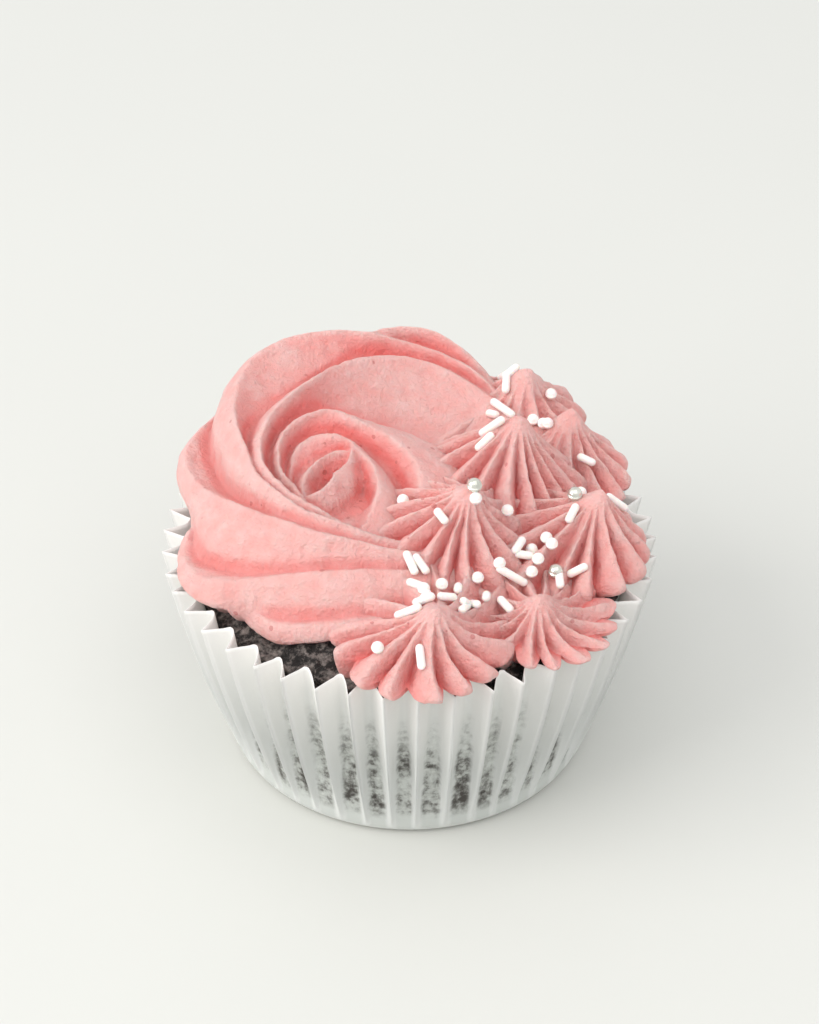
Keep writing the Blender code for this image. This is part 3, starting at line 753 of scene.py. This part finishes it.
def rose_line(turn, end, length):
    """Points of one line: over the top, round the lip and back under to the heart."""
    radii = np.arange(ROSE_SPACING, end - 0.4 * ROSE_SPACING, ROSE_SPACING)
    for name, (_, stations) in ROSE_EDGES.items():
        turned = counted_on(stations, turn)
        at = float(edge_radius(name, np.array([turned]))[0])
        if turned <= stations[-1][0] and at < radii[-1]:
            radii[np.abs(radii - at).argmin()] = at
    radii = np.append(np.unique(radii), end)
    across, along = math.cos(math.radians(turn)), math.sin(math.radians(turn))
    top = rose_height(ROSE_HEART[0] + radii * across, ROSE_HEART[1] + radii * along)
    rest = float(rest_height(ROSE_HEART[0] + end * across, ROSE_HEART[1] + end * along))
    edge = max(top[-1], rest + 0.6)
    top[-1] = edge
    bend = np.linspace(0.0, math.pi / 2.0, LIP_POINTS)[1:]
    lip = end - min(UNDERCUT, 0.5 * end) * (1.0 - np.cos(bend))
    lip_height = rest + (edge - rest) * (1.0 - np.sin(bend))
    under = np.linspace(lip[-1], 0.0, length - len(radii) - len(lip) + 1)[1:-1]
    under_height = rest_height(ROSE_HEART[0] + under * across, ROSE_HEART[1] + under * along)
    radii = np.concatenate([radii, lip, under, [0.01]])
    heights = np.concatenate([top, lip_height, under_height, under_height[-1:]])
    return np.stack([ROSE_HEART[0] + radii * across, ROSE_HEART[1] + radii * along, heights], 1)


# %% [markdown]
# Cream tears a little where it leaves the nozzle, so its edges and faces are never
# quite smooth. Every point is pushed by two sizes of noise. A displace modifier would
# do the same, but here the mesh keeps the push without one. Blender also has a noise
# that gives a whole direction at once, but its pattern can change from run to run, so
# the steady one is read three times.

# %% Torn cream
COARSE_TEAR = 0.13
FINE_TEAR = 0.10
APART = [Vector(away) for away in ((9.3, -1.5, -7.9), (31.7, 5.2, 3.3), (-4.6, 47.1, 12.8))]


def push_at(spot):
    """Noise that pushes a spot in all three directions, each read from its own place."""
    return np.array([noise.noise(spot + away) for away in APART])


def roughen(rings):
    """Pushes each point of the rings by coarse and fine noise, in millimetres."""
    for point in rings.reshape(-1, 3):
        spot = Vector(point)
        point += push_at(spot * 0.7) * COARSE_TEAR
        point += push_at(spot * 1.7) * FINE_TEAR


# %% [markdown]
# A crease lies lower than the middle of the points on either side of it, a crest lies
# higher, and a slope does neither. That hollowness is worked out on the rings' own
# heights, at several distances. The finish uses it to paint shade into the folds as a
# deep pink, and the same sum on the heights turned over finds the crests, which it
# paints lighter as a highlight. Steep faces that look towards the heart get painted
# shade as well.

# %% Depth in folds


def evened(marks):
    """Marks averaged a few times with those beside them."""
    for axis in (0, 1, 0, 1, 1, 1):
        marks = (np.roll(marks, 1, axis) + 2.0 * marks + np.roll(marks, -1, axis)) / 4.0
    return marks


def hollowness(heights, reach, full):
    """0 on faces and crests to 1 where a crease is the full depth."""
    hollow = 0.0 * heights
    for away in range(2, reach + 1, 2):
        beside = (np.roll(heights, away, axis=0) + np.roll(heights, -away, axis=0)) / 2.0
        hollow = np.maximum(hollow, beside - heights)
    return np.clip(evened(hollow) / full, 0.0, 1.0)


def facing_in(rings):
    """0 on level ground to 1 on a steep face that looks towards the rose's heart."""
    radius = np.hypot(rings[:, :, 0] - ROSE_HEART[0], rings[:, :, 1] - ROSE_HEART[1])
    out = np.roll(radius, 2, axis=0) - np.roll(radius, -2, axis=0)
    rise = np.roll(rings[:, :, 2], 2, axis=0) - np.roll(rings[:, :, 2], -2, axis=0)
    lean = rise * np.sign(out) / np.maximum(np.hypot(out, rise), 0.01)
    return np.clip((evened(lean) - 0.4) / 0.5, 0.0, 1.0)


def above_lip(rings):
    """1 on the rose's top, 0 on its rounded lip and underside, and a blend between."""
    radius = np.hypot(rings[:, :, 0] - ROSE_HEART[0], rings[:, :, 1] - ROSE_HEART[1])
    place = np.arange(len(rings))[:, None] - radius.argmax(axis=0)
    return evened(np.clip((place - 2.0) / 8.0, 0.0, 1.0))


# %% Pipe the rose
turns = np.arange(ROSE_LINES) * 360.0 / ROSE_LINES
ends = rose_ends(turns)
length = int(ends.max() / ROSE_SPACING) + LIP_POINTS + 10
lines = [rose_line(turn, end, length) for turn, end in zip(turns, ends)]
rings = np.ascontiguousarray(np.stack(lines, axis=1)[::-1])
under = (*ROSE_HEART, float(rest_height(*ROSE_HEART)))
heart = (*ROSE_HEART, HEART_FLOOR)
roughen(rings)
heights = rings[:, :, 2]
# painted shade: deep pink in the creases and on faces that look towards the heart; painted
# highlight: crests marked below zero, which the finish paints lighter
painted_light_marks = 0.45 * hollowness(heights, 8, 0.8) ** 1.3 + 0.2 * hollowness(heights, 22, 2.6)
painted_light_marks = np.minimum(painted_light_marks + 0.65 * facing_in(rings), 1.0) * above_lip(rings)
painted_light_marks = painted_light_marks - 0.45 * hollowness(-heights, 4, 0.8) ** 1.5
rose = skin("piped_rose", under, rings, heart, icing_finish, painted_light_marks)
soften(rose)
serve(rose, "icing", "rose_swirl")

# %% [markdown]
# ## The stars
# Each star is one squeeze of a star nozzle: petals fan out round a peak that was
# pulled up as the nozzle left. Its peak is taken from its solid. The foot is measured
# from there, with the number of petals and the twist that the hand gave. The petals
# are ridges with sharp valleys between them, deepest halfway out. Fourteen to sixteen
# petals could be copies of one, but a formula in the turn lets each be a little
# different in width, length and height.

# %% Star sizes
# foot centre from the peak, foot radius, petals, twist
STARS = {
    "star_middle": ((-2.8, 1.6), 11.0, 16, 16),
    "star_upper_middle": ((-1.1, -3.0), 11.0, 16, 14),
    "star_right": ((-3.6, -2.2), 10.6, 15, 12),
    "star_front_right": ((0.5, 3.1), 10.1, 15, 12),
    "star_front": ((-1.7, 2.0), 11.6, 14, 18),
    "star_right_back": ((-1.6, -3.8), 10.0, 14, 10),
    "star_back": ((-2.9, -1.2), 11.8, 14, 10),
}
PEAK_HEIGHT = 4.0
PEAK_WIDTH = 0.2
PETAL_START = 0.16
PETAL_CREST = 0.72
PETAL_NOTCH = 0.26
PETAL_SPREAD = 0.55
VALLEY_DEPTH = 3.7
PETAL_THINNEST = 0.7
PETAL_ROLL = 1.8


def star_peak(name):
    """The highest point of a star's solid, in millimetres."""
    points = [vertex.co for vertex in frame["nodes"][name].data.vertices]
    return np.array(max(points, key=lambda point: point.z)) / MM


PEAKS = {name: star_peak(name) for name in STARS}
for name, peak in PEAKS.items():
    print(name, "peaks at", np.round(peak, 1))


# %% [markdown]
# A petal is a blade of icing that leans on the next one, because the nozzle was
# turning: a broad face climbs gently to its crest, then drops into a sharp crease.
# The number below runs from 0 on the crest to 1 in the crease on either side.

# %% Petals


def petal_side(name, turn):
    """0 on a petal's crest and 1 in the valley beside it."""
    petals = STARS[name][2]
    seed = 70 + list(STARS).index(name)
    share = (turn * petals / 360.0 + 0.2 * ripple(turn, seed)) % 1.0
    rising = (PETAL_CREST - share) / PETAL_CREST
    falling = (share - PETAL_CREST) / (1.0 - PETAL_CREST)
    side = np.where(share < PETAL_CREST, rising, falling)
    return np.sqrt(side ** 2 + 0.02) / math.sqrt(1.02)


def star_foot(name):
    """Centre of the star's foot."""
    return PEAKS[name][:2] + np.array(STARS[name][0])


def petal_reach(name, s, turn):
    """How far the petals reach; they spread further towards the middle of the cake."""
    radius = STARS[name][1]
    foot = star_foot(name)
    inward = -(foot[0] * np.cos(np.radians(turn)) + foot[1] * np.sin(np.radians(turn)))
    spread = 1.0 + PETAL_SPREAD * np.maximum(inward / CAKE_EDGE_RADIUS, 0.0)
    uneven = 1.0 + 0.035 * ripple(turn, 40 + list(STARS).index(name))
    notch = PETAL_NOTCH * petal_side(name, turn) ** 2.6 * s ** 2 / spread ** 2
    return radius * spread * uneven * (1.0 - notch)


def star_points(name, s, turn):
    """Points of the star's top, from its peak (s = 0) to the petals' ends (s = 1)."""
    peak = PEAKS[name]
    foot = star_foot(name)
    twist = np.radians(turn - STARS[name][3] * (1.0 - s))
    reach = s * petal_reach(name, s, turn)
    x = foot[0] + (peak[0] - foot[0]) * (1.0 - s) + reach * np.cos(twist)
    y = foot[1] + (peak[1] - foot[1]) * (1.0 - s) + reach * np.sin(twist)
    full = peak[2] - float(bed_height(peak[0], peak[1]))
    body = (full - PEAK_HEIGHT) * (0.25 + 0.75 * np.clip(1.0 - s ** 2.1, 0.0, 1.0) ** 0.7)
    point = PEAK_HEIGHT * np.exp((0.12 - np.hypot(s, 0.12)) / PEAK_WIDTH)
    opened = np.clip((s - PETAL_START) / 0.4, 0.0, 1.0)
    valley = VALLEY_DEPTH * petal_side(name, turn) ** 1.35 * opened ** 0.8 * (1.0 - 0.6 * s ** 3)
    uneven = 0.4 * ripple(turn, 90 + list(STARS).index(name)) * s
    rise = np.maximum(body + point - valley + uneven, PETAL_THINNEST)
    # The last number is painted light: the valleys between petals are marked for painted shade in
    # deep pink, and the ridges below zero for a lighter painted highlight.
    ridge_highlight = np.clip(1.0 - 3.0 * petal_side(name, turn), 0.0, 1.0)
    depth = 1.1 * petal_side(name, turn) ** 2.0 * opened - 0.5 * ridge_highlight
    return x, y, bed_height(x, y) + rise, depth


# %% Pipe the stars
TURNS_A_PETAL = 26
STAR_RINGS = 64


def pipe_star(name):
    """One star, its petals' ends rolled round and under."""
    sides = STARS[name][2] * TURNS_A_PETAL
    turn = np.arange(sides) * 360.0 / sides
    s = np.linspace(0.0, 1.0, STAR_RINGS + 1)[1:, None] ** 0.9 + 0.0 * turn
    # valley here is each point's mark for painted light: shade in the valleys, highlight on the
    # ridges
    x, y, z, valley = star_points(name, s, turn + 0.0 * s)
    top = np.stack([x, y, z], axis=2)
    edge = top[-1]
    middle = np.append(PEAKS[name][:2], 0.0)
    middle[2] = rest_height(middle[0], middle[1])
    inward = middle[:2] - edge[:, :2]
    inward /= np.hypot(inward[:, 0], inward[:, 1])[:, None]
    floor = np.minimum(rest_height(edge[:, 0], edge[:, 1]), edge[:, 2] - 0.3)
    rolls = []
    for bend in np.linspace(0.0, math.pi / 2.0, 8)[1:]:
        roll = edge.copy()
        roll[:, :2] += inward * PETAL_ROLL * (1.0 - math.cos(bend))
        roll[:, 2] = floor + (edge[:, 2] - floor) * (1.0 - math.sin(bend))
        rolls.append(roll)
    rings = np.concatenate([np.stack(rolls[::-1]), top[::-1]])
    marks = np.concatenate([np.repeat(valley[-1:], len(rolls), axis=0), valley[::-1]])
    roughen(rings)
    star = skin("piped_" + name, middle, rings, PEAKS[name], icing_finish, marks)
    soften(star)
    serve(star, "icing", name)


for name in STARS:
    pipe_star(name)

# %% [markdown]
# ## Sprinkles and pearls
# Short white sugar rods, small white balls and three silvery pearls lie scattered on
# the stars, some pressed in and some caught between petals. A particle system could
# scatter thousands, but these few dozen are placed one at a time where a hand dropped
# them: so far from a star's peak, at such a turn round it, heading such a way. Each
# is then lowered until it rests on the icing.

# %% Sugar and pearl finishes
sugar_finish, tree, shader = new_finish("white_sugar", 0.42)
haze = add_node(tree, "TexNoise", None, Vector=place_on(tree), Scale=900.0, Detail=3.0).outputs[0]
dusting = mapped(tree, haze, 0.3, 0.7)
tint = blend_colours(tree, dusting, (0.86, 0.79, 0.75, 1.0), (0.95, 0.92, 0.88, 1.0))
tree.links.new(tint, shader.inputs["Base Color"])
bump = add_node(tree, "Bump", None, Height=haze, Strength=0.3, Distance=0.0002)
tree.links.new(bump.outputs[0], shader.inputs["Normal"])
shader.inputs["Subsurface Weight"].default_value = 0.3
shader.inputs["Subsurface Scale"].default_value = 0.0008

pearl_finish, tree, shader = new_finish("silver_pearl", 0.24)
clouds = add_node(tree, "TexNoise", None, Vector=place_on(tree), Scale=700.0, Detail=2.0).outputs[0]
clouding = mapped(tree, clouds, 0.3, 0.7)
tint = blend_colours(tree, clouding, (0.60, 0.60, 0.53, 1.0), (0.80, 0.79, 0.72, 1.0))
tree.links.new(tint, shader.inputs["Base Color"])
shader.inputs["Metallic"].default_value = 0.75
print("sugar and pearl finishes ready")

# %% Coming to rest
from mathutils.bvhtree import BVHTree

graph = bpy.context.evaluated_depsgraph_get()
piped = [piece for piece in bpy.data.objects if piece.name.startswith("piped_")]
icing_skins = [BVHTree.FromObject(piece, graph) for piece in piped]


def icing_top(x, y):
    """Height of the icing over a spot, in millimetres."""
    above = Vector((x * MM, y * MM, 0.1))
    hits = [skin.ray_cast(above, Vector((0.0, 0.0, -1.0)))[0] for skin in icing_skins]
    return max([hit.z / MM for hit in hits if hit is not None] + [float(dome_height(x, y))])


def settle(x, y, radius):
    """Height where a ball of this radius comes to rest, pressed in a little."""
    heights = [icing_top(x, y) + radius]
    for turn in range(0, 360, 60):
        aside = 0.7 * radius
        spot = (x + aside * math.cos(math.radians(turn)), y + aside * math.sin(math.radians(turn)))
        heights.append(icing_top(*spot) + 0.71 * radius)
    return max(heights) - 0.3 * radius


print(len(icing_skins), "pieces of icing to land on")

# %% [markdown]
# A rod is a short cylinder with rounded ends, and a ball is the same shape with no
# length. All the rods become one mesh, and so do the balls and the pearls.

# %% Rods and balls
AROUND = 16
CAP_RINGS = 5


def sugar_grain(start, end, radius):
    """Points and faces of a round-ended rod between two places."""
    start, end = Vector(start), Vector(end)
    axis = end - start
    lying = axis if axis.length > 0.01 else Vector((0.0, 0.0, 1.0))
    facing = lying.to_track_quat("Z", "Y")
    bends = [math.pi / 2.0 * step / CAP_RINGS for step in range(1, CAP_RINGS + 1)]
    rows = [(start, -math.cos(bend), math.sin(bend)) for bend in bends]
    rows += [(end, math.cos(bend), math.sin(bend)) for bend in reversed(bends)]
    points = [start - facing @ Vector((0.0, 0.0, radius))]
    for centre, along, out in rows:
        for step in range(AROUND):
            turn = 2.0 * math.pi * step / AROUND
            offset = Vector((out * math.cos(turn), out * math.sin(turn), along)) * radius
            points.append(centre + facing @ offset)
    points.append(end + facing @ Vector((0.0, 0.0, radius)))
    faces = [(0, 1 + (step + 1) % AROUND, 1 + step) for step in range(AROUND)]
    for low in range(1, 1 + (len(rows) - 1) * AROUND, AROUND):
        for step in range(AROUND):
            after = (step + 1) % AROUND
            faces.append((low + step, low + after, low + AROUND + after, low + AROUND + step))
    low, tip = 1 + (len(rows) - 1) * AROUND, len(points) - 1
    faces += [(low + step, low + (step + 1) % AROUND, tip) for step in range(AROUND)]
    return points, faces


def scatter(name, grains, finish):
    """One mesh of many grains, which rides with the cupcake."""
    points, faces = [], []
    for start, end, radius in grains:
        more, sides = sugar_grain(start, end, radius)
        faces += [[len(points) + corner for corner in side] for side in sides]
        points += [point * MM for point in more]
    mesh = bpy.data.meshes.new(name)
    mesh.from_pydata(points, [], faces)
    mesh.polygons.foreach_set("use_smooth", [True] * len(mesh.polygons))
    mesh.materials.append(finish)
    piece = bpy.data.objects.new(name, mesh)
    bpy.context.scene.collection.objects.link(piece)
    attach(piece, "root")
    print(name, len(grains), "grains,", len(faces), "faces")


# %% Where they lie
# the star, the distance from its peak, the turn round it, then a rod's heading and length
RODS = [
    ("star_front", 4.5, 145, -30, 4.0), ("star_front", 5.0, -115, 95, 3.6),
    ("star_front", 4.0, 115, -15, 3.0), ("star_front", 4.5, 110, 65, 2.6),
    ("star_front", 8.0, 110, -30, 2.6), ("star_middle", 10.5, -140, -65, 3.4),
    ("star_middle", 9.5, -135, -55, 3.2), ("star_front", 5.0, 75, 25, 2.8),
    ("star_front", 5.5, 50, 70, 3.0), ("star_front", 6.5, 55, 45, 2.0),
    ("star_front", 7.5, 50, -60, 2.4), ("star_front", 8.0, 70, 85, 1.8),
    ("star_front_right", 7.5, 155, 85, 2.0), ("star_front_right", 5.0, 150, -55, 3.0),
    ("star_front_right", 8.0, 115, -5, 4.2), ("star_front_right", 8.5, 70, 95, 2.6),
    ("star_right", 10.0, -110, -10, 2.8), ("star_back", 4.5, 130, -20, 2.8),
    ("star_back", 2.5, 175, 30, 2.8), ("star_back", 3.5, -155, 85, 3.2),
    ("star_back", 6.5, -125, -40, 4.2), ("star_back", 8.0, -130, -25, 2.0),
    ("star_upper_middle", 4.0, -175, -10, 3.6), ("star_upper_middle", 5.5, -155, 20, 2.8),
    ("star_right_back", 6.5, -75, -30, 2.8), ("star_right", 4.5, -150, 55, 2.6),
    ("star_right", 3.0, 40, -5, 3.2), ("star_middle", 4.5, -155, -55, 2.6),
    ("star_middle", 6.5, -20, 65, 3.2), ("star_middle", 7.5, -25, 10, 2.6),
]
BALLS = [
    ("star_front", 6.5, 105), ("star_front", 7.5, 85), ("star_front", 8.0, -160),
    ("star_middle", 7.5, -85), ("star_middle", 7.0, -60), ("star_middle", 9.5, -25),
    ("star_middle", 8.0, -10), ("star_middle", 1.5, -75), ("star_middle", 10.0, 155),
    ("star_middle", 5.0, 20), ("star_front_right", 8.5, 95), ("star_right", 9.5, -135),
    ("star_right", 9.0, -145), ("star_right", 6.5, 110), ("star_right_back", 5.5, 170),
    ("star_right_back", 4.0, 175), ("star_right_back", 3.5, -170), ("star_back", 3.5, -25),
]
PEARLS = [("star_middle", 0.3, -40), ("star_right", 3.5, 170), ("star_front_right", 9.5, 75)]
ROD_RADIUS = 0.56
BALL_RADIUS = 0.82
PEARL_RADIUS = 1.0


def beside(name, away, turn):
    """A place in the ground plan, measured from a star's peak."""
    x, y = PEAKS[name][:2]
    return x + away * math.cos(math.radians(turn)), y + away * math.sin(math.radians(turn))


def dropped_ball(name, away, turn, radius):
    """A ball that rests on the icing, as a rod with no length."""
    x, y = beside(name, away, turn)
    spot = (x, y, settle(x, y, radius))
    return spot, spot, radius


def dropped_rod(name, away, turn, heading, length):
    """A rod that rests on the icing at both ends or across its middle."""
    x, y = beside(name, away, turn)
    half = length / 2.0 - ROD_RADIUS
    along = (half * math.cos(math.radians(heading)), half * math.sin(math.radians(heading)))
    first, last = (x - along[0], y - along[1]), (x + along[0], y + along[1])
    low, high = settle(*first, ROD_RADIUS), settle(*last, ROD_RADIUS)
    lift = max(0.0, settle(x, y, ROD_RADIUS) - (low + high) / 2.0)
    return (*first, low + lift), (*last, high + lift), ROD_RADIUS


scatter("sugar_rods", [dropped_rod(*rod) for rod in RODS], sugar_finish)
scatter("sugar_balls", [dropped_ball(*ball, BALL_RADIUS) for ball in BALLS], sugar_finish)
scatter("silver_pearls", [dropped_ball(*pearl, PEARL_RADIUS) for pearl in PEARLS], pearl_finish)
